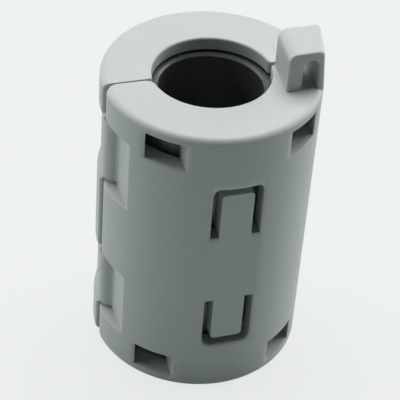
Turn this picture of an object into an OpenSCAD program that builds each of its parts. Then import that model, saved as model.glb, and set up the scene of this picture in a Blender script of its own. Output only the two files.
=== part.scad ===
// Clip-on ferrite bead for a cable: a snap case of grey moulded nylon in two hinged halves,
// each holding half of a sintered ferrite tube. It stands on one end, with the cable passage along Z.
// The halves part on the XZ plane: the front half is at -Y, the hinges at -X, the latch and tie loop at +X.

/* [Case] */
// Outside diameter of the closed case
case_diameter = 20.8; // [19:0.1:26]
// Length of the case between its two end faces
case_length = 31.2; // [29:0.1:40]
// Thickness of the round wall
case_wall = 1.75; // [1.5:0.05:2.2]
// Thickness of the end walls
end_wall = 1.3; // [1:0.1:1.8]
// Rounding of the rim at the upper end
upper_rim_round = 0.65; // [0.2:0.05:0.9]
// Rounding of the rim at the lower end
lower_rim_round = 0.65; // [0.2:0.05:0.9]

/* [Cable hole] */
// Distance by which the hole in the end walls is wider than the ferrite bore, on each side
hole_step = 0.7; // [0.3:0.05:0.8]
// Distance from the closing plane to the centre of each half's hole arc, negative for a shallower arc
hole_offset = -0.25; // [-0.5:0.05:0.5]
// Chamfer around the hole
hole_chamfer = 0.2; // [0.05:0.05:0.3]
// Rounding of the front half's hole corner beside the hinge
front_hinge_corner = 0.8; // [0.3:0.1:1]
// Rounding of the other hole corners
other_corner = 0.35; // [0.2:0.05:0.6]

/* [Closing faces] */
// Gap between the closed halves beside the hinge
hinge_gap = 0.2; // [0.1:0.05:0.4]
// Gap between the closed halves beside the latch
latch_gap = 0.45; // [0.2:0.05:0.6]
// Rounding of the front half's outer edge beside the hinge
front_hinge_edge = 1.2; // [0.3:0.05:1.5]
// Rounding of the other outer edges of the closing faces
other_edge = 0.25; // [0.1:0.05:0.4]

/* [Windows] */
// Distance from the middle plane to the near side of a window
window_near = 4.95; // [4:0.05:5.5]
// Width of a window
window_width = 3.2; // [2:0.1:3.4]
// Distance from the end face to the window
window_from_end = 1; // [0.95:0.05:2.5]
// Height of a window
window_height = 2.8; // [1.5:0.1:3.5]

/* [Panel and spring tongues] */
// Outer width of the U-shaped slots
slot_width = 4.9; // [4:0.1:6]
// Width of the flat beside the slots on each side, and how far it stops short of their far ends
panel_margin = 0.15; // [0.05:0.05:0.5]
// Length of the panel over the far ends of its slots
panel_length = 19.8; // [16:0.1:21]
// Width of a spring tongue
tongue_width = 3.15; // [2.5:0.05:3.4]
// Width of the slot across the free end of a tongue
tongue_end_slot = 0.85; // [0.4:0.05:1]
// Length of the plain middle of the panel, between the two slots
panel_middle = 7.9; // [5:0.1:10]
// Outer corner rounding of the slots
slot_round = 0.9; // [0.3:0.05:1]
// Corner rounding of the tongues
tongue_round = 0.45; // [0.1:0.05:0.5]

/* [Hinges and latch] */
// Height of a hinge pocket
pocket_height = 7.7; // [5:0.1:8]
// Distance between the middles of the two hinges
hinge_spacing = 16.2; // [13:0.1:17]
// Height of the pair of hinges above the middle of the case
hinge_rise = 0.3; // [-1:0.05:1]
// Thickness of the case wall left behind a pocket
pocket_web = 0.45; // [0.3:0.01:0.7]
// Gap above a hinge strap
strap_upper_gap = 0.8; // [0.2:0.05:1.2]
// Gap below a hinge strap
strap_lower_gap = 0.4; // [0.2:0.05:0.8]
// Outside radius of the rolled strap
strap_radius = 1.25; // [1.1:0.05:1.3]
// Thickness of a strap
strap_thickness = 0.45; // [0.3:0.05:0.6]
// Distance of a closed strap inside the case's outline
strap_inset = 0.2; // [0.05:0.05:0.3]
// Height of a latch hook
hook_height = 5.6; // [4:0.1:6.5]
// Reach of a latch hook past the closing plane
hook_reach = 2.6; // [2.3:0.1:3]
// Height of the catch ridge on a latch pocket's floor
catch_height = 0.45; // [0.3:0.05:0.5]
// Clearance around a latch hook
latch_clearance = 0.12; // [0.08:0.01:0.2]

/* [Tie loop] */
// Height of the loop above the end face
loop_height = 4.1; // [3:0.1:5]
// Depth of the loop, from the closing plane towards the front
loop_depth = 4.5; // [4:0.1:5.5]
// Width of the slot for the tie
tie_slot_width = 1.5; // [1:0.05:1.8]
// Height of the slot for the tie
tie_slot_height = 3.15; // [2.2:0.05:3.2]
// Thickness of the loop's wall on the outside of the slot, at its thin end
loop_outer_wall = 0.65; // [0.4:0.05:0.8]
// Thickness of the loop's wall on the inside of the slot, at the closing plane
loop_inner_wall = 1.2; // [0.7:0.05:1.3]
// Distance by which the loop's inner side comes nearer to the hole towards the front
loop_splay = 0.3; // [0.1:0.05:0.6]
// Rounding of the loop's upper inner edge
loop_round = 0.9; // [0.3:0.05:1.2]
// Rounding of the loop's upper outer edge
loop_outer_round = 0.55; // [0.2:0.05:1.2]
// Distance by which the loop's outer side leans in at its top
loop_lean = 0.3; // [0.1:0.05:0.35]

/* [Ferrite] */
// Thickness of the ferrite tube's wall
core_wall = 3.5; // [3.3:0.1:4.5]
// Clearance between the ferrite and the round wall
core_clearance = 0.15; // [0.05:0.05:0.3]
// Clearance between the ferrite and each end wall
core_end_clearance = 0.3; // [0.05:0.05:0.4]
// Chamfer on the ferrite's edges
core_chamfer = 0.2; // [0.1:0.05:0.5]
// Gap left between the ground faces of the two half-cores
core_face_gap = 0.05; // [0.02:0.01:0.1]

/* [Hidden] */
$fn = 96;
// Length by which a cut reaches past the surface that it opens
past = 1;
// Depth by which a corner's rounding crosses the faces that it joins
corner_overlap = 0.02;
nylon_grey = [0.72, 0.74, 0.73];
ferrite_black = [0.13, 0.13, 0.14];

case_r = case_diameter / 2;
cavity_r = case_r - case_wall;
core_r = cavity_r - core_clearance;
bore_r = core_r - core_wall;
hole_r = bore_r + hole_step;
mid_z = case_length / 2;
hinge_face = hinge_gap / 2;
latch_face = latch_gap - hinge_face;

panel_half = slot_width / 2 + panel_margin;
panel_y = sqrt(case_r * case_r - panel_half * panel_half);
slot_length = (panel_length - panel_middle) / 2;

hinge_z = [mid_z + hinge_rise + hinge_spacing / 2, mid_z + hinge_rise - hinge_spacing / 2];
pocket_x = cavity_r + pocket_web;
strap_foot = strap_lower_gap - pocket_height / 2;
strap_height = pocket_height - strap_upper_gap - strap_lower_gap;
strap_x = case_r - strap_inset - strap_radius;

catch_x = pocket_x + catch_height;
catch_end = hook_reach / 2;
catch_start = catch_end - 2 * catch_height;
hook_x = catch_x + latch_clearance;
barb_x = pocket_x + latch_clearance;
barb_start = catch_end + latch_clearance;
latch_pocket_reach = hook_reach + 2 * latch_clearance;
latch_pocket_height = hook_height + 4 * latch_clearance;

slot_outer_x = sqrt(case_r * case_r - loop_depth * loop_depth) - loop_outer_wall;
slot_inner_x = slot_outer_x - tie_slot_width;
loop_inner_x = slot_inner_x - loop_inner_wall;
loop_foot = (end_wall + upper_rim_round) / 2;

core_base = end_wall + core_end_clearance;
core_length = case_length - 2 * core_base;

// Half of the case's section: a solid block with rounded rims, turned about the axis
module case_section() {
    translate([0, lower_rim_round])
        square([case_r, case_length - lower_rim_round - upper_rim_round]);
    square([case_r - lower_rim_round, lower_rim_round]);
    translate([case_r - lower_rim_round, lower_rim_round])
        intersection() {
            circle(lower_rim_round);
            translate([0, -lower_rim_round])
                square(lower_rim_round);
        }
    translate([0, case_length - upper_rim_round])
        square([case_r - upper_rim_round, upper_rim_round]);
    translate([case_r - upper_rim_round, case_length - upper_rim_round])
        intersection() {
            circle(upper_rim_round);
            square(upper_rim_round);
        }
}

// Room on the +Y side of the closing faces, at one height beside the hinge and another beside the latch
module half_room(at_hinge, at_latch) {
    reach = case_r + past;
    translate([0, 0, -past])
        linear_extrude(case_length + loop_height + 2 * past)
            polygon([[-reach, at_hinge], [0, at_hinge], [0, at_latch], [reach, at_latch], [reach, reach],
                     [-reach, reach]]);
}

// Cable hole of the half on the +Y side, with a chamfer at both ends
module cable_hole() {
    translate([0, hole_offset, -past])
        cylinder(h = case_length + 2 * past, r = hole_r);
    for (end = [0, 1])
        translate([0, hole_offset, end * case_length])
            mirror([0, 0, end])
                cylinder(h = hole_chamfer, r1 = hole_r + hole_chamfer, r2 = hole_r);
}

// What the rounding takes off the hole's corner at -X of the +Y half, whose closing face lies at y = face.
// The rounding's circle crosses the closing face and the hole by a small overlap.
module hole_corner(radius, face) {
    reach = hole_r + radius - corner_overlap;
    rise = face + radius - corner_overlap - hole_offset;
    run = sqrt(reach * reach - rise * rise);
    inside = 1 - (radius + past) / reach;
    translate([0, 0, -past])
        linear_extrude(case_length + 2 * past)
            difference() {
                polygon([[-run, hole_offset + rise], [-run, face - past], [-run * inside, face - past],
                         [-run * inside, hole_offset + rise * inside]]);
                translate([-run, hole_offset + rise])
                    circle(radius);
            }
}

// What the rounding takes off the outer edge of a closing face at -X of the +Y half, which lies at y = face.
// The rounding's circle crosses the closing face and the case's side by the same small overlap.
module closing_edge(radius, face) {
    reach = case_r - radius + corner_overlap;
    rise = face + radius - corner_overlap;
    run = sqrt(reach * reach - rise * rise);
    outside = (case_r + past) / reach;
    translate([0, 0, -past])
        linear_extrude(case_length + 2 * past)
            difference() {
                polygon([[-run, rise], [-run * outside, rise * outside], [-run * outside, face - past],
                         [-run, face - past]]);
                translate([-run, rise])
                    circle(radius);
            }
}

// Windows of the +Y half at both ends and both sides, which open the wall as far in as the ferrite's side
module windows() {
    for (side = [0, 1], end = [0, 1])
        mirror([side, 0, 0])
            translate([0, 0, end * case_length])
                mirror([0, 0, end])
                    difference() {
                        translate([window_near, past, window_from_end])
                            cube([window_width, case_r, window_height]);
                        cylinder(h = case_length, r = core_r);
                    }
}

// Corner-rounded end of a tongue or slot: a block that ends in two quarter rounds at its far end
module rounded_end(width, length, radius) {
    translate([-width / 2, 0])
        square([width, length - radius]);
    translate([radius - width / 2, 0])
        square([width - 2 * radius, length]);
    for (side = [-1, 1])
        translate([side * (width / 2 - radius), length - radius])
            circle(radius);
}

// One U-shaped slot, drawn with its tongue pointing up from the origin
module tongue_slot() {
    difference() {
        rounded_end(slot_width, slot_length, slot_round);
        translate([0, -past])
            rounded_end(tongue_width, slot_length - tongue_end_slot + past, tongue_round);
    }
}

// Flat panel of the +Y half, which runs out in the far ends of the slots, and the slots of its two tongues
module panel_cuts() {
    flat_length = panel_length - 2 * panel_margin;
    translate([-case_r, panel_y, mid_z - flat_length / 2])
        cube([case_diameter, case_r, flat_length]);
    for (end = [0, 1])
        translate([0, 0, mid_z])
            mirror([0, 0, end])
                translate([0, case_r + past, panel_middle / 2])
                    rotate([90, 0, 0])
                        linear_extrude(case_wall + 2 * past)
                            tongue_slot();
}

// Pockets of the +Y half in which the hinge straps roll
module hinge_pockets() {
    for (z = hinge_z)
        translate([-pocket_x - case_r, -past, z - pocket_height / 2])
            cube([case_r, case_r + past, pocket_height]);
}

// Everything that both halves of the case share, made for the +Y half
module plain_half(at_hinge, at_latch, hinge_corner, hinge_edge) {
    difference() {
        intersection() {
            rotate_extrude()
                case_section();
            half_room(at_hinge, at_latch);
        }
        translate([0, 0, end_wall])
            cylinder(h = case_length - 2 * end_wall, r = cavity_r);
        cable_hole();
        hole_corner(hinge_corner, at_hinge);
        mirror([1, 0, 0])
            hole_corner(other_corner, at_latch);
        closing_edge(hinge_edge, at_hinge);
        mirror([1, 0, 0])
            closing_edge(other_edge, at_latch);
        windows();
        panel_cuts();
        hinge_pockets();
    }
}

// Tie loop on the upper end: an upright eye, flush with the case's side, that a cable tie goes through
module tie_loop() {
    depth = loop_depth - hinge_face;
    height = loop_height + loop_foot;
    difference() {
        intersection() {
            translate([loop_inner_x, -hinge_face, case_length - loop_foot])
                rotate([0, 0, -atan(loop_splay / depth)])
                    translate([0, past, 0])
                        rotate([90, 0, 0])
                            linear_extrude(depth + 3 * past)
                                loop_outline(height);
            translate([0, -loop_depth, 0])
                cube([case_diameter, depth, case_length + loop_height + past]);
            rotate_extrude()
                loop_room();
        }
        translate([slot_inner_x, past, case_length])
            rotate([90, 0, 0])
                linear_extrude(loop_depth + 2 * past)
                    tie_slot();
    }
}

// Half of the section of the room that the loop fills: inside the case's round side, leaning in above
// the end face, with a rounded upper edge. The rounding's circle crosses the top and the side by the overlap.
module loop_room() {
    top = case_length + loop_height;
    slope = loop_lean / loop_height;
    depth = loop_outer_round - corner_overlap;
    x = case_r - slope * (loop_height - depth) - depth * sqrt(1 + slope * slope);
    z = top - depth;
    reach = loop_outer_round + past;
    difference() {
        polygon([[0, 0], [case_r, 0], [case_r, case_length], [case_r - loop_lean - slope * past, top + past],
                 [0, top + past]]);
        difference() {
            polygon([[x, z], [x, top + 2 * past], [x + reach, top + 2 * past],
                     [x + reach, z + reach * slope]]);
            translate([x, z])
                circle(loop_outer_round);
        }
    }
}

// Inner side and top of the loop seen from the front, from the foot of its inner side at the origin
module loop_outline(height) {
    difference() {
        square([case_r, height]);
        translate([loop_round, height - loop_round])
            difference() {
                translate([-loop_round - past, 0])
                    square(loop_round + past);
                circle(loop_round);
            }
    }
}

// Arched slot through the loop, from the end face up
module tie_slot() {
    arch = tie_slot_width / 2;
    square([tie_slot_width, tie_slot_height - arch]);
    translate([arch, tie_slot_height - arch])
        circle(arch);
}

// Pocket and catch ridge of a latch in the front half, around the middle of a hook
module latch_pockets() {
    for (z = hinge_z)
        translate([0, 0, z - latch_pocket_height / 2])
            linear_extrude(latch_pocket_height)
                difference() {
                    translate([pocket_x, -latch_pocket_reach])
                        square([case_r, latch_pocket_reach + past]);
                    polygon([[pocket_x - past, -catch_start], [pocket_x, -catch_start],
                             [catch_x, -catch_start - catch_height], [catch_x, -catch_end],
                             [pocket_x - past, -catch_end]]);
                }
}

// Latch hook of the rear half: a tongue flush with the case's side, with a barb behind the catch ridge
module latch_hooks() {
    root = latch_face + other_edge + past;
    intersection() {
        for (z = hinge_z)
            translate([0, 0, z - hook_height / 2])
                linear_extrude(hook_height)
                    polygon([[hook_x, root], [case_r + past, root], [case_r + past, -hook_reach],
                             [hook_x, -hook_reach], [barb_x, -barb_start - catch_height],
                             [barb_x, -barb_start], [hook_x, -barb_start]]);
        cylinder(h = case_length, r = case_r);
    }
}

// Living hinge, rolled to a half round between the pocket floors of the two halves
module hinge_strap(z) {
    color(nylon_grey)
        translate([0, 0, z + strap_foot])
            intersection() {
                translate([-strap_x, 0, 0])
                    difference() {
                        cylinder(h = strap_height, r = strap_radius);
                        translate([0, 0, -past])
                            cylinder(h = strap_height + 2 * past, r = strap_radius - strap_thickness);
                    }
                translate([-pocket_x - case_r, -case_r, 0])
                    cube([case_r, case_diameter, strap_height]);
            }
}

// Half of the ferrite tube on the +Y side, with chamfered ends
module half_core() {
    color(ferrite_black)
        intersection() {
            translate([0, 0, core_base])
                rotate_extrude()
                    polygon([[bore_r + core_chamfer, 0], [core_r - core_chamfer, 0], [core_r, core_chamfer],
                             [core_r, core_length - core_chamfer], [core_r - core_chamfer, core_length],
                             [bore_r + core_chamfer, core_length], [bore_r, core_length - core_chamfer],
                             [bore_r, core_chamfer]]);
            translate([-case_r, core_face_gap / 2, 0])
                cube([case_diameter, case_r, case_length]);
        }
}

module front_shell() {
    color(nylon_grey)
        difference() {
            union() {
                mirror([0, 1, 0])
                    plain_half(hinge_face, hinge_face, front_hinge_corner, front_hinge_edge);
                tie_loop();
            }
            latch_pockets();
        }
}

module rear_shell() {
    color(nylon_grey)
        union() {
            plain_half(hinge_face, latch_face, other_corner, other_edge);
            latch_hooks();
        }
}

module upper_hinge_strap() {
    hinge_strap(hinge_z[0]);
}

module lower_hinge_strap() {
    hinge_strap(hinge_z[1]);
}

module front_core() {
    mirror([0, 1, 0])
        half_core();
}

module rear_core() {
    half_core();
}

front_shell();
rear_shell();
upper_hinge_strap();
lower_hinge_strap();
front_core();
rear_core();
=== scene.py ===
import math

import bmesh
import bpy
import numpy as np
from mathutils import Matrix, Vector


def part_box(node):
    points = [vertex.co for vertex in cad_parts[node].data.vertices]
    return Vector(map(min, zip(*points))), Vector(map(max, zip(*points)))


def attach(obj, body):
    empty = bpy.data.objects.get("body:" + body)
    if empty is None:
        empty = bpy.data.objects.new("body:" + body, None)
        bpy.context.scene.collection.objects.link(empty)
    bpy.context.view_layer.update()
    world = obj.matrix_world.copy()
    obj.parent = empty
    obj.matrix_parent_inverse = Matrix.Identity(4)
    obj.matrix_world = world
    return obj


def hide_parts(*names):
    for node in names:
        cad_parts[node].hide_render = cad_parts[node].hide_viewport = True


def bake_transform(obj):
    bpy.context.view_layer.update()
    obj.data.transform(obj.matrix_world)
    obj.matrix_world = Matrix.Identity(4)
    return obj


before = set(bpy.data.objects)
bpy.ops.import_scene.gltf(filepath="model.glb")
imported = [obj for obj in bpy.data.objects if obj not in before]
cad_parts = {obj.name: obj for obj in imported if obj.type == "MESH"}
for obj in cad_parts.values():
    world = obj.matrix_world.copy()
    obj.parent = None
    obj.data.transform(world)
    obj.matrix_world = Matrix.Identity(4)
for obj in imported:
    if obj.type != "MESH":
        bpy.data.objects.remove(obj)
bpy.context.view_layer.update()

mm = 0.001                      # one millimetre in scene units
print("frame loaded:", ", ".join(sorted(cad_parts)))


# colours and nodes

def linearFromHex(code):
    # sRGB hex to linear light, with alpha 1
    srgb = np.array([int(code[i:i + 2], 16) for i in (1, 3, 5)]) / 255
    light = np.where(srgb <= 0.04045, srgb / 12.92, ((srgb + 0.055) / 1.055) ** 2.4)
    return (*light.tolist(), 1.0)


def addNode(tree, kind, settings=None, links=None):
    # one node: settings are its own properties or unlinked inputs, links are inputs fed by other outputs
    node = tree.nodes.new(kind)
    for key, value in (settings or {}).items():
        if isinstance(key, str) and hasattr(node, key):
            setattr(node, key, value)
        else:
            node.inputs[key].default_value = value
    for key, socket in (links or {}).items():
        tree.links.new(socket, node.inputs[key])
    return node


def newMaterial(name):
    material = bpy.data.materials.new(name)
    material.use_nodes = True
    material.node_tree.nodes.clear()
    return material, material.node_tree


def noise(tree, place, sizeMm, detail):
    # random pattern with blotches of about sizeMm
    settings = {"Scale": 1 / (sizeMm * mm), "Detail": detail}
    return addNode(tree, "ShaderNodeTexNoise", settings, {"Vector": place}).outputs[0]


def weighted(tree, first, share, second):
    # the share times the first, plus the second
    settings = {"operation": "MULTIPLY_ADD", 1: share}
    return addNode(tree, "ShaderNodeMath", settings, {0: first, 2: second}).outputs[0]


def spread(tree, value, span, result=(0.0, 1.0)):
    # the span of values laid over the span of results
    settings = {"From Min": span[0], "From Max": span[1], "To Min": result[0], "To Max": result[1]}
    return addNode(tree, "ShaderNodeMapRange", settings, {"Value": value}).outputs[0]


def shaded(tree, share, low, high):
    # from one colour to the other as the share goes from 0 to 1
    settings = {"data_type": "RGBA", 6: linearFromHex(low), 7: linearFromHex(high)}
    return addNode(tree, "ShaderNodeMix", settings, {0: share}).outputs[2]


def finishSurface(tree, look, colour, relief):
    # the relief pattern sets the gloss from spot to spot and stands a little proud
    rough = spread(tree, relief, look["reliefSpan"], look["rough"])
    proud = {"Strength": look["reliefShare"], "Distance": look["reliefDepth"] * mm}
    bump = addNode(tree, "ShaderNodeBump", proud, {"Height": relief})
    skin = addNode(tree, "ShaderNodeBsdfPrincipled", {"IOR": look["ior"]},
                   {"Base Color": colour, "Roughness": rough, "Normal": bump.outputs[0]})
    addNode(tree, "ShaderNodeOutputMaterial", None, {"Surface": skin.outputs[0]})


# moulded nylon: polyamide from a spark-eroded tool, so matt, a little waxy, faintly clouded along the flow
nylonLook = {
    "pale": "#C8CDCD",          # where the melt filled last
    "deep": "#C3C9C8",
    "cloud": 6.5,               # clouding in mm
    "cloudShare": 0.5,          # its weight beside the mottle's
    "mottle": 0.8,              # fine colour mottle in mm
    "flowWidth": 1.1,           # flow streaks across and along, mm
    "flowLength": 11.0,
    "flowShare": 0.35,
    "colourSpan": (0.62, 1.22),
    "grain": 0.24,              # spark-eroded grain, really about 0.05 mm, drawn coarser so that it shows
    "reliefDepth": 0.012,       # of the grain, mm
    "reliefShare": 0.6,
    "reliefSpan": (0.3, 0.7),
    "rough": (0.46, 0.60),
    "ior": 1.53,
}


def mouldedNylon(look):
    material, tree = newMaterial("moulded_nylon")
    place = addNode(tree, "ShaderNodeTexCoord").outputs["Object"]
    stretch = (1.0, 1.0, look["flowWidth"] / look["flowLength"])
    along = addNode(tree, "ShaderNodeMapping", {"Scale": stretch}, {"Vector": place}).outputs[0]
    cloud = noise(tree, place, look["cloud"], 3.0)
    mottle = noise(tree, place, look["mottle"], 4.0)
    flow = noise(tree, along, look["flowWidth"], 2.0)
    grain = noise(tree, place, look["grain"], 3.0)
    whole = weighted(tree, flow, look["flowShare"], weighted(tree, cloud, look["cloudShare"], mottle))
    colour = shaded(tree, spread(tree, whole, look["colourSpan"]), look["deep"], look["pale"])
    finishSurface(tree, look, colour, grain)
    return material


# sintered ferrite: pressed and fired iron oxide, near black, satin where the press die left it
ferriteLook = {
    "body": "#45474B",
    "dust": "#5A5D61",          # paler oxide dust in the pores
    "cloud": 4.0,               # mm
    "cloudShare": 0.6,          # its weight beside the pores'
    "pore": 0.35,               # mm
    "colourSpan": (0.7, 1.15),
    "reliefDepth": 0.015,       # of the pores, mm
    "reliefShare": 0.5,
    "reliefSpan": (0.3, 0.7),
    "rough": (0.34, 0.55),
    "ior": 1.8,
}


def sinteredFerrite(look):
    material, tree = newMaterial("sintered_ferrite")
    place = addNode(tree, "ShaderNodeTexCoord").outputs["Object"]
    cloud = noise(tree, place, look["cloud"], 3.0)
    pore = noise(tree, place, look["pore"], 5.0)
    whole = weighted(tree, cloud, look["cloudShare"], pore)
    colour = shaded(tree, spread(tree, whole, look["colourSpan"]), look["body"], look["dust"])
    finishSurface(tree, look, colour, pore)
    return material


nylon = mouldedNylon(nylonLook)
ferrite = sinteredFerrite(ferriteLook)
for nodeName in ("front_core", "rear_core"):
    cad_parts[nodeName].data.materials.clear()
    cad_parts[nodeName].data.materials.append(ferrite)
print("finishes made:", nylon.name, ferrite.name)


# outlines and grids

def arc(centre, radius, start, end, count):
    # points on a circle, from angle start to end in degrees
    turn = np.radians(np.linspace(start, end, count))
    return np.c_[centre[0] + radius * np.cos(turn), centre[1] + radius * np.sin(turn)]


def filled(marks, step):
    # the marks in order, with evenly spaced lines between them wherever two are more than a step apart
    marks = np.unique(np.round(marks, 4))
    counts = np.ceil(np.diff(marks) / step - 1e-6).astype(int)
    spans = [np.linspace(a, b, n, endpoint=False) for a, b, n in zip(marks, marks[1:], counts)]
    return np.concatenate([*spans, marks[-1:]])


def alongPath(path, shares):
    # points of a polyline at these shares of its length
    length = np.r_[0, np.cumsum(np.hypot(*np.diff(path, axis=0).T))]
    return np.stack([np.interp(shares * length[-1], length, line) for line in path.T], axis=-1)


def carried(inside, outside, low, high, edge, steps=4):
    # A rounded rectangle carried along two curves that run side by side: across, it goes from the inside
    # curve to the outside curve, and along the third axis from low to high. Its corners are quarter rounds
    # of radius edge.
    turn = np.radians(np.linspace(0, 90, steps + 1))
    half, left = (high - low) / 2 - edge * (1 - np.cos(turn)), 1 - np.sin(turn)
    third = np.r_[half, -half[::-1], -half, half[::-1]] + (low + high) / 2
    inset = np.r_[left, left[::-1], left, left[::-1]]
    side = np.repeat([1, 1, -1, -1], steps + 1)
    inside, outside = (curve(third) if callable(curve) else curve[:, None] for curve in (inside, outside))
    thick = np.linalg.norm(outside - inside, axis=-1)
    depth = (0.5 + side * (0.5 - inset * edge / thick))[..., None]
    flat = inside * (1 - depth) + outside * depth
    return flat[..., 0], flat[..., 1], np.broadcast_to(third, flat.shape[:2])


def ringFaces(stations, around):
    # quads of a tube of closed rings, with its two end caps
    index = np.arange(stations * around).reshape(stations, around)
    right = np.roll(index, -1, axis=1)
    quads = np.stack([index[:-1], right[:-1], right[1:], index[1:]], axis=-1).reshape(-1, 4)
    return quads.tolist() + [index[0][::-1].tolist(), index[-1].tolist()]


# the two halves of the case, in mm
caseShape = {
    "radius": 10.4,
    "length": 31.2,
    "cavity": 8.65,             # radius of the room for the ferrite
    "endWall": 1.3,
    "hole": 5.7,                # radius of the cable hole
    "holeShift": -0.25,         # its centre, from the closing plane
    "holeEdge": 0.22,
    "upperRim": 0.65,
    "lowerRim": 0.65,
    "window": (4.95, 8.15, 1.0, 3.8),           # sides from the middle plane, then heights from either end
    "slot": (1.575, 2.45, 3.95, 9.05, 9.9),     # half widths: tongue, slot; from the middle: root, tip, end
    "slotRound": 0.9,
    "tongueRound": 0.45,
    "flat": (2.6, 9.725),       # half width and half length of the flat panel
    "pocket": (9.1, 3.85),      # floor of a hinge or latch pocket, half height of a hinge pocket
    "latch": (2.84, 3.04),      # reach and half height of a latch pocket
    "catch": (0.4, 0.85, 1.28, 1.31),           # ridge from the closing plane: slope, top, steep side
    "catchHeight": 0.45,
    "hinges": (7.8, 24.0),      # heights of the two hinges and latches
    "edge": 0.12,               # soft edge that the tool leaves
    "draft": 0.02,              # how far a pocket's end walls lean
    "sideFrom": 8.3,            # x beyond which the mesh follows the closing edges
    "spacing": (0.6, 0.5, 0.4),                 # widest mesh spacing along, across and up the closing edges
}
# each half: closing faces, rounds of the hole's corners, rounds of the outer edges along the side and inwards
halves = {
    "front_shell": {"side": -1, "hingeFace": 0.1, "hingeCorner": 0.8, "hingeEdge": (1.2, 0.5),
                    "latchFace": 0.1, "latchCorner": 0.35, "latchEdge": (0.25, 0.25)},
    "rear_shell": {"side": 1, "hingeFace": 0.1, "hingeCorner": 0.35, "hingeEdge": (0.25, 0.25),
                   "latchFace": 0.35, "latchCorner": 0.35, "latchEdge": (0.25, 0.25)},
}
guard = 0.1                     # mm from a fold to the mesh line that holds the face beside it flat


def closingEnd(shape, face, edge, marks, side):
    # one end of the outer outline in plan: from the closing face round its edge, then up the case's side
    r = shape["radius"]
    tall, deep = edge
    rise, reach = face + tall, r - tall
    run = math.sqrt(reach ** 2 - rise ** 2)
    lean = math.degrees(math.atan2(rise, run))
    turnIn = arc((run, rise), tall, -90, lean, 5 + int(8 * tall))
    turnIn[:, 0] = turnIn[-1, 0] - (turnIn[-1, 0] - turnIn[:, 0]) * deep / tall
    start, top = turnIn[-1, 1], math.sqrt(r ** 2 - shape["sideFrom"] ** 2)
    clear = [mark for mark in marks if mark > start + guard / 5]
    up = filled([start, top, *clear], shape["spacing"][2])[1:]
    outline = np.concatenate([turnIn, np.c_[np.sqrt(r ** 2 - up ** 2), up]])
    return outline * [side, 1]


def holePath(shape, half):
    # edge of the cable hole in plan: closing face, rounded corner, arc, rounded corner, closing face
    r, shift = shape["hole"], shape["holeShift"]
    ends = []
    for face, corner in ((half["hingeFace"], half["hingeCorner"]), (half["latchFace"], half["latchCorner"])):
        rise = face + corner - shift
        run = math.sqrt((r + corner) ** 2 - rise ** 2)
        lean = math.degrees(math.atan2(rise, run))
        ends.append((arc((run, shift + rise), corner, 270, 180 + lean, 16), lean))
    (first, leanA), (last, leanB) = ends
    around = arc((0, shift), r, 180 - leanA, leanB, 160)
    return np.concatenate([first * [-1, 1], around[1:-1], last[::-1]])


def roundedCorners(a, b, centre, radius, line, tolerance=1e-3):
    # moves the points of two grid lines that meet at a right angle onto the quarter circle that rounds it
    upright = (abs(a - line[0]) < tolerance) & (b > centre[1] - tolerance) & (b < line[1] + tolerance)
    level = (abs(b - line[1]) < tolerance) & (a > centre[0] - tolerance) & (a < line[0] + tolerance)
    turn = np.radians(np.where(upright, (b - centre[1]) / radius * 45, 90 - (a - centre[0]) / radius * 45))
    moved = upright | level
    return (np.where(moved, centre[0] + radius * np.cos(turn), a),
            np.where(moved, centre[1] + radius * np.sin(turn), b))


def roundedTip(a, b, centre, radius, tolerance=1e-3):
    # draws the square corner of a tongue into a quarter disc: squares about the centre become arcs about it
    u, v = (a - centre[0]) / radius, (b - centre[1]) / radius
    inside = (np.minimum(u, v) > tolerance) & (np.maximum(u, v) < 1 + tolerance)
    size = np.maximum(np.maximum(u, v), tolerance)
    turn = np.radians(np.where(u > v, 45 * v / size, 90 - 45 * u / size))
    return (np.where(inside, centre[0] + radius * size * np.cos(turn), a),
            np.where(inside, centre[1] + radius * size * np.sin(turn), b))


def pocketMarks(shape, half):
    # where the profile across a pocket's end wall turns: on the floor, on the edge, on its roll, beside it
    draft, edge = shape["draft"], shape["edge"]
    return np.array([half - draft, half, half + 0.3 * edge, half + edge])


def pocketShare(shape, place, middle, half):
    # 0 outside a pocket, 1 on its floor, with a soft edge just outside its end walls
    return np.interp(abs(place - middle), pocketMarks(shape, half), [1, 0.12, 0.04, 0])


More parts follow.
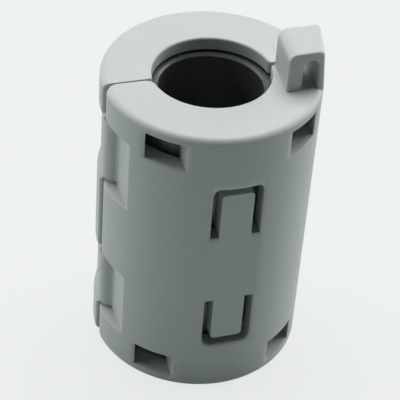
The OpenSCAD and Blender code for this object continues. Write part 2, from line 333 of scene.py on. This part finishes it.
def halfShell(shape, half, latchPockets):
    # A section through the wall, drawn as a closed chain of rows (outer wall, rim, end face, hole, inner
    # face, cavity and back), is carried round the axis along the outer outline, the cavity and the hole.
    # Pockets and flat push the outer wall in. Window and slot cells are left out and their rims joined
    # through the wall.
    r, length, e = shape["radius"], shape["length"], shape["edge"]
    mid, sideFrom = length / 2, shape["sideFrom"]
    near, far, winLow, winHigh = shape["window"]
    tongue, slot, root, tip, end = shape["slot"]
    sr, tr = shape["slotRound"], shape["tongueRound"]
    floor, pocketHalf = shape["pocket"]
    reach, latchHalf = shape["latch"]

    # stations round the case
    pocketW = math.sqrt(r ** 2 - floor ** 2)
    hingeMarks = [pocketW - e, pocketW, pocketW + e]
    latchMarks = [*shape["catch"], *pocketMarks(shape, reach)] if latchPockets else []
    hinge = closingEnd(shape, half["hingeFace"], half["hingeEdge"], hingeMarks, -1)
    latch = closingEnd(shape, half["latchFace"], half["latchEdge"], [*latchMarks, *hingeMarks], 1)
    slotTurn, tongueTurn = np.linspace(-sr, 0, 6), np.linspace(-tr, 0, 6)
    marks = np.r_[near - e, near, far, tongue - e, tongue + tongueTurn, slot + slotTurn, slot + e,
                  shape["flat"][0], sideFrom]
    across = filled(np.r_[-marks, 0, marks], shape["spacing"][1])[1:-1]
    plan = np.concatenate([hinge, np.c_[across, np.sqrt(r ** 2 - across ** 2)], latch[::-1]])
    count, nh, nl = len(plan), len(hinge), len(latch)
    middle = slice(nh - 1, count - nl + 1)

    # the cavity's outline with the same stations
    cav = shape["cavity"]
    room = np.empty((count, 2))
    room[middle] = np.c_[plan[middle, 0], np.sqrt(cav ** 2 - plan[middle, 0] ** 2)]
    limit = math.asin(math.sqrt(cav ** 2 - sideFrom ** 2) / cav)
    turnA = np.linspace(math.asin(half["hingeFace"] / cav), limit, nh)
    turnB = np.linspace(math.asin(half["latchFace"] / cav), limit, nl)[::-1]
    room[:nh] = np.c_[-cav * np.cos(turnA), cav * np.sin(turnA)]
    room[-nl:] = np.c_[cav * np.cos(turnB), cav * np.sin(turnB)]
    gone = np.r_[0, np.cumsum(np.hypot(*np.diff(plan, axis=0).T))]
    hole = alongPath(holePath(shape, half), gone / gone[-1])

    # heights of the rows
    windowMarks = np.array([winLow, winHigh, winHigh + e])
    fromMid = np.r_[root - e, root, tip + tongueTurn, tip - e, end + slotTurn, end + e]
    z = [windowMarks, length - windowMarks, mid - fromMid, mid + fromMid]
    for halfHeight in (pocketHalf, latchHalf) if latchPockets else (pocketHalf,):
        soft = np.r_[halfHeight - shape["draft"] - 1.2 * guard, pocketMarks(shape, halfHeight)]
        z += [h + way * soft for h in shape["hinges"] for way in (1, -1)]
    shared = filled(np.concatenate(z), shape["spacing"][0])
    below = np.r_[shape["lowerRim"], winLow - e]
    above = length - np.r_[winLow - e, shape["upperRim"] + guard, shape["upperRim"]]
    rows = np.r_[below, shared, above]
    first, last = len(below), len(below) + len(shared)

    # windows and slots: which cells go, and the warped grid round the slots' corners
    midX = abs(plan[:-1, 0] + plan[1:, 0]) / 2
    midZ = (rows[:-1] + rows[1:]) / 2
    fromEnd = np.minimum(midZ, length - midZ)[:, None]
    up = abs(midZ - mid)[:, None]
    inMiddle = np.zeros(count - 1, bool)
    inMiddle[middle.start:middle.stop - 1] = True
    openCells = (midX > near) & (midX < far) & (fromEnd > winLow) & (fromEnd < winHigh)
    openCells |= (midX < slot) & (up > root) & (up < end) & ~((midX < tongue) & (up < tip))
    openCells &= inMiddle
    grown = np.pad(openCells, 1)
    touch = np.stack([grown[:-1, :-1], grown[1:, :-1], grown[:-1, 1:], grown[1:, 1:]])
    rim = touch.any(0) & ~touch.all(0)

    x = np.repeat(plan[None, :, 0], len(rows), 0)
    w = np.repeat(plan[None, :, 1], len(rows), 0)
    zz = np.repeat(rows[:, None], count, 1)
    a, b = abs(x), abs(zz - mid)
    for d in (0, e):
        a, b = roundedCorners(a, b, (slot - sr, end - sr), sr + d, (slot + d, end + d))
    a, b = roundedTip(a, b, (tongue - tr, tip - tr), tr)
    x, zz = np.copysign(a, x), mid + np.copysign(b, zz - mid)
    w[:, middle] = np.sqrt(r ** 2 - x[:, middle] ** 2)
    innerX = np.repeat(room[None, :, 0], len(rows), 0)
    innerW = np.repeat(room[None, :, 1], len(rows), 0)
    innerX[:, middle] = x[:, middle]
    innerW[:, middle] = np.sqrt(cav ** 2 - x[:, middle] ** 2)
    innerEnd = shape["endWall"] + guard / 2
    innerZ = np.clip(zz, innerEnd, length - innerEnd)
    inner = np.stack([innerX, innerW, innerZ], -1)

    # flat panel, hinge pockets, latch pockets with their catch ridge, soft window and slot rims
    flatY = math.sqrt(r ** 2 - shape["flat"][0] ** 2)
    onFlat = np.interp(b, [shape["flat"][1], end], [1, 0]) * (a < shape["flat"][0])
    w -= onFlat * np.maximum(w - flatY, 0)
    for h in shape["hinges"]:
        x += pocketShare(shape, zz, h, pocketHalf) * np.maximum(-floor - x, 0)
        if latchPockets:
            ridge = shape["catchHeight"]
            ground = floor + np.interp(w, shape["catch"], [0, ridge, ridge, 0])
            share = pocketShare(shape, zz, h, latchHalf) * pocketShare(shape, w, 0, reach)
            x -= share * np.maximum(x - ground, 0)
    sink = np.where(rim, 1 - 0.8 * e / r, 1)        # edges of windows and slots lie a little lower
    outer = np.stack([x * sink, w * sink, zz], -1)

    # the rows in order: each is the outline at one place of the wall's section
    def row(outline, height):
        line = np.c_[outline, np.full(count, height)]
        line[[0, -1], 1] = half["hingeFace"], half["latchFace"]
        return line[None]

    def holeRow(wider, height):
        centre = [0, shape["holeShift"]]
        return row((hole - centre) * (1 + wider / shape["hole"]) + centre, height)

    def rimRows(radius, base, way):
        turns = np.radians(np.linspace(0, 90, 8)[1:])
        return [row(plan * (1 - radius * (1 - math.cos(turn)) / r), base + way * radius * math.sin(turn))
                for turn in turns]

    def between(lineA, lineB, shares):
        return [lineA * (1 - s) + lineB * s for s in shares]

    he, wall, hold = shape["holeEdge"], shape["endWall"], 0.8 * guard
    mouth = [(he, 0), (0.45 * he, 0.1 * he), (0.1 * he, 0.45 * he), (0, he), (0, he + hold),
             (0, wall - hold), (0, wall)]
    upper = rimRows(shape["upperRim"], length - shape["upperRim"], 1)
    lower = rimRows(shape["lowerRim"], shape["lowerRim"], -1)
    throat = [holeRow(s, length - d) for s, d in mouth]
    foot = [holeRow(s, d) for s, d in mouth]
    faceShares, wallShares = (0.03, 0.25, 0.5, 0.75, 0.97), (0.04, 0.5, 0.96)
    roomTop, roomFoot = row(room, length - wall), row(room, wall)
    chain = [outer, *upper, *between(upper[-1], throat[0], faceShares), *throat,
             *between(throat[-1], roomTop, wallShares), roomTop]
    innerStart = sum(len(part) for part in chain)
    chain += [inner[first:last][::-1], roomFoot, *between(roomFoot, foot[-1], wallShares), *foot[::-1],
              *between(foot[0], lower[-1], faceShares), *lower[::-1]]
    section = np.concatenate(chain)
    section[:, 0, 1], section[:, -1, 1] = half["hingeFace"], half["latchFace"]

    # faces: all cells but the open ones, then the closing faces, then the walls of the openings
    index = np.arange(section.shape[0] * count).reshape(-1, count)
    following = np.roll(index, -1, axis=0)
    cells = np.stack([index[:, :-1], index[:, 1:], following[:, 1:], following[:, :-1]], -1)
    kept = np.ones(cells.shape[:2], bool)
    kept[:len(rows) - 1] = ~openCells
    openShared = openCells[first:last - 1]
    kept[innerStart:innerStart + len(shared) - 1] = ~openShared[::-1]
    faces = cells[kept].tolist() + [index[:, 0].tolist(), index[::-1, -1].tolist()]
    points = section.reshape(-1, 3)

    outerIndex = index[first:last]
    innerIndex = index[innerStart:innerStart + len(shared)][::-1]
    rimShared = rim[first:last]
    levels = [outerIndex]
    for share in (0.07, 0.95):          # of the way through the wall
        level = np.full(outerIndex.shape, -1)
        level[rimShared] = len(points) + np.arange(rimShared.sum())
        fresh = points[outerIndex[rimShared]] * (1 - share) + points[innerIndex[rimShared]] * share
        points = np.concatenate([points, fresh])
        levels.append(level)
    levels.append(innerIndex)
    grown = np.pad(openShared, 1)
    sides = ((grown[:-2, 1:-1], (0, 0), (0, 1)), (grown[1:-1, 2:], (0, 1), (1, 1)),
             (grown[2:, 1:-1], (1, 1), (1, 0)), (grown[1:-1, :-2], (1, 0), (0, 0)))
    for neighbour, start, stop in sides:
        q, i = np.nonzero(openShared & ~neighbour)
        for over, under in zip(levels, levels[1:]):
            wallQuads = np.stack([over[q + start[0], i + start[1]], over[q + stop[0], i + stop[1]],
                                  under[q + stop[0], i + stop[1]], under[q + start[0], i + start[1]]], -1)
            faces += wallQuads.tolist()
    return points * [1, half["side"], 1], faces


# tie loop on the upper end of the front half: an upright eye flush with the case's side
loopShape = {
    "inside": 6.026,            # x of its inner side at the closing plane
    "splay": 0.3,               # how much nearer to the hole it comes towards the front
    "slot": (7.226, 8.726),     # x of the slot's sides
    "slotTop": 34.35,
    "top": 35.3,
    "depth": (0.11, 4.5),       # from the closing plane
    "round": 0.9,               # of its upper inner edge
    "outerRound": 0.55,
    "lean": 0.3,                # of its outer side, over its height
    "sunk": 0.1,                # how far its foot reaches into the case
    "edge": 0.22,
    "archPoints": 33,
}


def tieLoop(shape, case):
    # The slot's outline and the loop's outline run side by side from foot to foot. On the outer side the
    # outline is a distance from the axis, so that it follows the round case through the loop's depth.
    # The inner side splays.
    r, length, rim, top = case["radius"], case["length"], case["upperRim"], shape["top"]
    foot = length - rim - shape["sunk"]
    left, right = shape["slot"]
    arch = (right - left) / 2
    spring = shape["slotTop"] - arch
    lean = shape["lean"] / (top - length)
    legs = np.r_[foot, length - rim, length - rim / 2, np.linspace(length, spring, 9)]
    archIn = arc(((left + right) / 2, spring), arch, 180, 0, shape["archPoints"])[1:-1]
    upright = np.ones(len(legs))
    inside = np.concatenate([np.c_[left * upright, legs], archIn, np.c_[right * upright, legs[::-1]]])
    inner, outer = shape["round"], shape["outerRound"]
    hub = r - lean * (top - outer - length) - outer * math.sqrt(1 + lean ** 2)
    over = np.concatenate([[[shape["inside"], spring]],
                           arc((shape["inside"] + inner, top - inner), inner, 180, 90, 14),
                           arc((hub, top - outer), outer, 90, math.degrees(math.atan(lean)), 14),
                           [[r - lean * (spring - length), spring]]])
    archOut = alongPath(over, np.linspace(0, 1, shape["archPoints"]))[1:-1]
    sunk = np.interp(legs, [foot, length - rim], [shape["sunk"], 0])
    sideX = r - lean * np.maximum(legs - length, 0) - sunk
    outline = np.concatenate([np.c_[shape["inside"] * upright, legs], archOut, np.c_[sideX, legs][::-1]])
    bend = np.interp(outline[:, 0], [shape["inside"] + inner, hub], [0, 1])
    bend[:len(legs)] = 0

    def outside(depth):
        x, z = outline[:, :1], np.repeat(outline[:, 1:], len(depth), 1)
        onCase = np.sqrt(x ** 2 - depth ** 2)
        splayed = x - shape["splay"] * (depth - shape["depth"][0]) / np.ptp(shape["depth"])
        share = bend[:, None]
        return np.stack([splayed * (1 - share) + onCase * share, z], -1)

    x, z, depth = carried(inside, outside, *shape["depth"], shape["edge"])
    return np.stack([x, -depth, z], -1).reshape(-1, 3), ringFaces(*x.shape)


# latch hooks of the rear half: tongues flush with the case's side, with a barb behind the catch ridge
hookShape = {
    "inside": 9.67,             # x of the hook's inner side
    "barb": 9.22,               # x of the barb
    "barbFrom": 1.42,           # barb's shoulder, past the closing plane
    "barbLength": 0.45,         # of its level part
    "draft": 0.02,              # lean of the shoulder
    "reach": 2.6,
    "root": (0.62, 0.9, 1.4),   # inside the rear half: where it dips under the wall, is under it, and ends
    "rootDepth": 0.15,
    "half": 2.8,                # half height
    "edge": 0.12,
    "spacing": 0.25,
}


def latchHook(shape, case, height):
    # The hook's inner side and the case's round side run side by side from the root to the tip.
    shoulder, half = shape["barbFrom"], shape["half"]
    turns = np.array([shoulder - shape["draft"], shoulder, shoulder + shape["barbLength"], shape["reach"]])
    y = filled(np.r_[shape["root"], 0, -turns], shape["spacing"])[::-1]
    inX = np.interp(-y, turns, [shape["inside"], shape["barb"], shape["barb"], shape["inside"]])
    outX = np.sqrt(case["radius"] ** 2 - y ** 2) - np.interp(y, shape["root"][:2], [0, shape["rootDepth"]])
    x, y, z = carried(np.c_[inX, y], np.c_[outX, y], height - half, height + half, shape["edge"])
    return np.stack([x, y, z], -1).reshape(-1, 3), ringFaces(*x.shape)


creaseAngle = 50                # degrees between faces from which shading breaks


def newPiece(name, parts, finish):
    # one object from closed parts: faces turned outwards, soft shading, broken only at creases
    mesh = bpy.data.meshes.new(name)
    starts = np.cumsum([0] + [len(points) for points, faces in parts]).tolist()
    points = np.concatenate([points for points, faces in parts]) * mm
    corners = [[v + first for v in face] for first, (_, faces) in zip(starts, parts) for face in faces]
    mesh.from_pydata(points.tolist(), [], corners)
    shell = bmesh.new()
    shell.from_mesh(mesh)
    bmesh.ops.recalc_face_normals(shell, faces=shell.faces)
    shell.to_mesh(mesh)
    shell.free()
    sides = np.empty(len(mesh.polygons), dtype=np.int32)
    mesh.polygons.foreach_get("loop_total", sides)
    mesh.polygons.foreach_set("use_smooth", sides == 4)
    mesh.set_sharp_from_angle(angle=math.radians(creaseAngle))
    mesh.materials.append(finish)
    mesh.update()
    piece = bpy.data.objects.new(name, mesh)
    bpy.context.scene.collection.objects.link(piece)
    return piece


frontParts = [halfShell(caseShape, halves["front_shell"], True), tieLoop(loopShape, caseShape)]
rearParts = [halfShell(caseShape, halves["rear_shell"], False)]
rearParts += [latchHook(hookShape, caseShape, height) for height in caseShape["hinges"]]
shells = (("front_shell", "front_half", frontParts), ("rear_shell", "rear_half", rearParts))
for nodeName, bodyName, parts in shells:
    shell = newPiece(nodeName + "_moulding", parts, nylon)
    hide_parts(nodeName)
    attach(shell, bodyName)
    print("half of the case made:", shell.name, len(shell.data.polygons), "faces")


# living hinges: a thin web of the case, rolled to a half round between the pocket floors of the two halves
strapShape = {
    "radius": 1.25,             # outside radius of the roll, mm
    "thickness": 0.45,
    "foot": 0.5,                # fillet at the foot
    "edge": 0.12,               # soft edge of the web
    "bend": 0.7,                # half width of the stretch that unrolls
    "footPoints": 12,
    "rollPoints": 51,
}


def hingeStrap(nodeName, shape):
    # Two curves in plan run side by side from foot to foot: the outside is foot fillet, arc, foot fillet,
    # the inside one arc. The web between them stands in Z.
    low, high = (np.array(corner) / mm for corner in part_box(nodeName))
    outer, inner, foot = shape["radius"], shape["radius"] - shape["thickness"], shape["foot"]
    hub, floorX = low[0] + outer, high[0]
    lean = math.degrees(math.acos((hub - floorX + foot) / (outer + foot)))      # where fillet meets roll
    footY = (outer + foot) * math.sin(math.radians(lean))
    front = arc((floorX - foot, -footY), foot, 0, lean, shape["footPoints"])
    roll = arc((hub, 0), outer, 180 + lean, 180 - lean, shape["rollPoints"])
    outside = np.concatenate([front, roll[1:-1], (front * [1, -1])[::-1]])
    reach = math.degrees(math.acos((hub - floorX) / inner))
    inside = arc((hub, 0), inner, 180 + reach, 180 - reach, len(outside))
    x, y, z = carried(inside, outside, low[2], high[2], shape["edge"])
    web = [(np.stack([x, y, z], -1).reshape(-1, 3), ringFaces(*x.shape))]
    strap = newPiece(nodeName + "_web", web, nylon)
    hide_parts(nodeName)
    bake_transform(strap)
    return strap


straps = [hingeStrap(nodeName, strapShape) for nodeName in ("upper_hinge_strap", "lower_hinge_strap")]
print("hinge straps made:", len(straps))


# stage: pale floor, soft studio light
stageLook = {
    "floor": "#EDF0EF",
    "bounce": "#B4BFBA",        # what the floor sends back to the object
    "shade": 0.12,              # depth of the object's shadow on the floor
    "floorSize": 1600,          # mm
    "sky": "#D8E4E0",
    "skyLevel": 0.06,
}


def paleFloor(look):
    half = look["floorSize"] / 2 * mm
    mesh = bpy.data.meshes.new("floor")
    corners = [(-half, -half, 0), (half, -half, 0), (half, half, 0), (-half, half, 0)]
    mesh.from_pydata(corners, [], [(0, 1, 2, 3)])
    floor = bpy.data.objects.new("floor", mesh)
    bpy.context.scene.collection.objects.link(floor)
    material, tree = newMaterial("painted_board")
    ray = addNode(tree, "ShaderNodeLightPath")
    seen = addNode(tree, "ShaderNodeMath", {"operation": "MAXIMUM"},
                   {0: ray.outputs["Is Camera Ray"], 1: ray.outputs["Is Glossy Ray"]})
    shown = addNode(tree, "ShaderNodeMath", {"operation": "MAXIMUM"},
                    {0: seen.outputs[0], 1: ray.outputs["Is Transmission Ray"]})
    paint = addNode(tree, "ShaderNodeBsdfDiffuse", {"Color": linearFromHex(look["floor"])})
    glow = addNode(tree, "ShaderNodeEmission", {"Color": linearFromHex(look["floor"]), "Strength": 1.0})
    board = addNode(tree, "ShaderNodeMixShader", {0: look["shade"]},
                    {1: glow.outputs[0], 2: paint.outputs[0]})
    bounce = addNode(tree, "ShaderNodeBsdfDiffuse", {"Color": linearFromHex(look["bounce"])})
    mixed = addNode(tree, "ShaderNodeMixShader", None,
                    {0: shown.outputs[0], 1: bounce.outputs[0], 2: board.outputs[0]})
    addNode(tree, "ShaderNodeOutputMaterial", None, {"Surface": mixed.outputs[0]})
    mesh.materials.append(material)


def sky(look):
    world = bpy.data.worlds.new("studio")
    world.use_nodes = True
    world.node_tree.nodes["Background"].inputs["Color"].default_value = linearFromHex(look["sky"])
    world.node_tree.nodes["Background"].inputs["Strength"].default_value = look["skyLevel"]
    bpy.context.scene.world = world


# place and size in mm; level 1 lights a surface that faces the lamp so that its colour renders as written
lamps = {
    "overhead": {"place": (20, 110, 430), "size": 320, "level": 0.93},
    "left": {"place": (-340, 250, 160), "size": 380, "level": 0.46},
    "right": {"place": (430, 110, 150), "size": 280, "level": 0.55},
}


def addLamp(name, place, size, level, aim):
    spot = Vector(place) * mm
    way = aim - spot
    lamp = bpy.data.lights.new(name, "AREA")
    lamp.shape = "SQUARE"
    lamp.size = size * mm
    lamp.energy = level * math.pi ** 2 * way.length ** 2
    holder = bpy.data.objects.new(name, lamp)
    holder.matrix_world = Matrix.Translation(spot) @ way.to_track_quat("-Z", "Y").to_matrix().to_4x4()
    bpy.context.scene.collection.objects.link(holder)


# camera: where the photograph was taken from
view = {
    "azimuth": -19.265,         # degrees, negative is left of the front
    "elevation": 40.06,
    "roll": 4.515,
    "distance": 166.63,         # mm
    "focalPx": 1692.8,          # in pixels of a frame 400 wide
    "framePx": 400,
    "target": (-0.209, 0.0, 15.659),            # mm
    "sensor": 36,               # mm
    "clip": (0.005, 10),        # nearest and farthest that it sees, m
}


def placeCamera(look):
    turn, lift, roll = (math.radians(look[k]) for k in ("azimuth", "elevation", "roll"))
    back = Vector((math.sin(turn) * math.cos(lift), -math.cos(turn) * math.cos(lift), math.sin(lift)))
    across = Vector((math.cos(turn), math.sin(turn), 0))
    upward = back.cross(across)
    right = across * math.cos(roll) + upward * math.sin(roll)
    up = upward * math.cos(roll) - across * math.sin(roll)
    spot = (Vector(look["target"]) + back * look["distance"]) * mm
    lens = bpy.data.cameras.new("photograph")
    lens.sensor_width = look["sensor"]
    lens.lens = look["focalPx"] * lens.sensor_width / look["framePx"]
    lens.clip_start, lens.clip_end = look["clip"]
    camera = bpy.data.objects.new("photograph", lens)
    camera.matrix_world = Matrix.Translation(spot) @ Matrix((right, up, back)).transposed().to_4x4()
    bpy.context.scene.collection.objects.link(camera)
    bpy.context.scene.camera = camera


paleFloor(stageLook)
sky(stageLook)
for lampName, lamp in lamps.items():
    addLamp(lampName, **lamp, aim=Vector(view["target"]) * mm)
placeCamera(view)
bpy.context.scene.view_settings.view_transform = "Standard"
print("stage, lamps and camera set")
